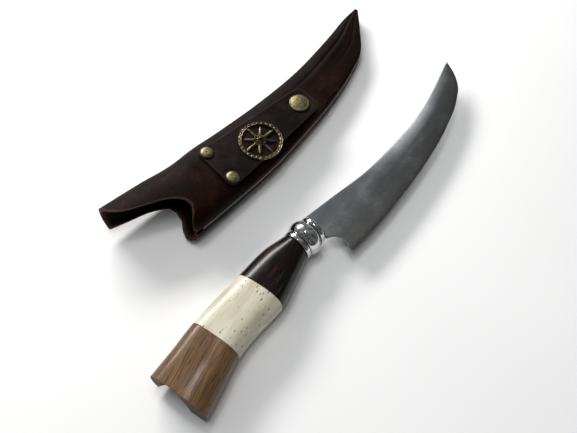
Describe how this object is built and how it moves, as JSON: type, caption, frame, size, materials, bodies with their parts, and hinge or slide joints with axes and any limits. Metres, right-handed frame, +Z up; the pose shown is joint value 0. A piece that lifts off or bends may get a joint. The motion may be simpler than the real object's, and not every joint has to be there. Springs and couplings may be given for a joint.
{
  "type": "sheath knife",
  "caption": "Curved trailing-point knife with a choil, a polished bolster and a wood, bone and wood handle, beside its folded leather sheath with a snap strap.",
  "frame": {"origin": "centre of the footprint of the knife and the sheath together, on the table they lie on", "axes": "+X from the handle's butt towards the blade's point, +Y from the knife towards the sheath, +Z up from the table"},
  "size_m": [0.2798, 0.1366, 0.0307],
  "materials": {
    "satin_steel": "satin",
    "polished_nickel_silver": "mirror polished",
    "ebony": "gloss",
    "polished_bone": "polished, with small dark pores",
    "oiled_walnut": "gloss",
    "cured_epoxy": "hidden",
    "oxblood_leather": "satin",
    "strap_leather": "satin",
    "raw_leather_edge": "raw",
    "antique_brass": "antiqued"
  },
  "bodies": {
    "knife": {"blade": "satin_steel", "bolster_front_collar": "polished_nickel_silver", "bolster_barrel": "polished_nickel_silver", "bolster_rear_ring": "polished_nickel_silver", "tang_bedding": "cured_epoxy", "handle_dark_wood": "ebony", "handle_bone": "polished_bone", "handle_brown_wood": "oiled_walnut"},
    "sheath": {"sheath_leather": "oxblood_leather", "sheath_welt": "raw_leather_edge", "strap_root": "strap_leather", "rivet_post_spine": "antique_brass", "rivet_cap_spine": "antique_brass", "rivet_post_edge": "antique_brass", "rivet_cap_edge": "antique_brass", "snap_stud": "antique_brass", "snap_post": "antique_brass"},
    "strap": {"strap_flap": "strap_leather", "snap_socket": "antique_brass", "snap_cap": "antique_brass", "concho": "antique_brass", "concho_screw": "antique_brass"}
  },
  "joints": [
    {"name": "sheath_lift", "type": "slide", "parent": "knife", "child": "sheath", "axis": [0, 0, 1], "range_m": [0, 0.1]},
    {"name": "strap_open", "type": "hinge", "parent": "sheath", "child": "strap", "pos_m": [-0.01035, 0.02483, 0.02549], "axis": [-0.1683, -0.9836, -0.0655], "range_deg": [0, 100]}
  ]
}
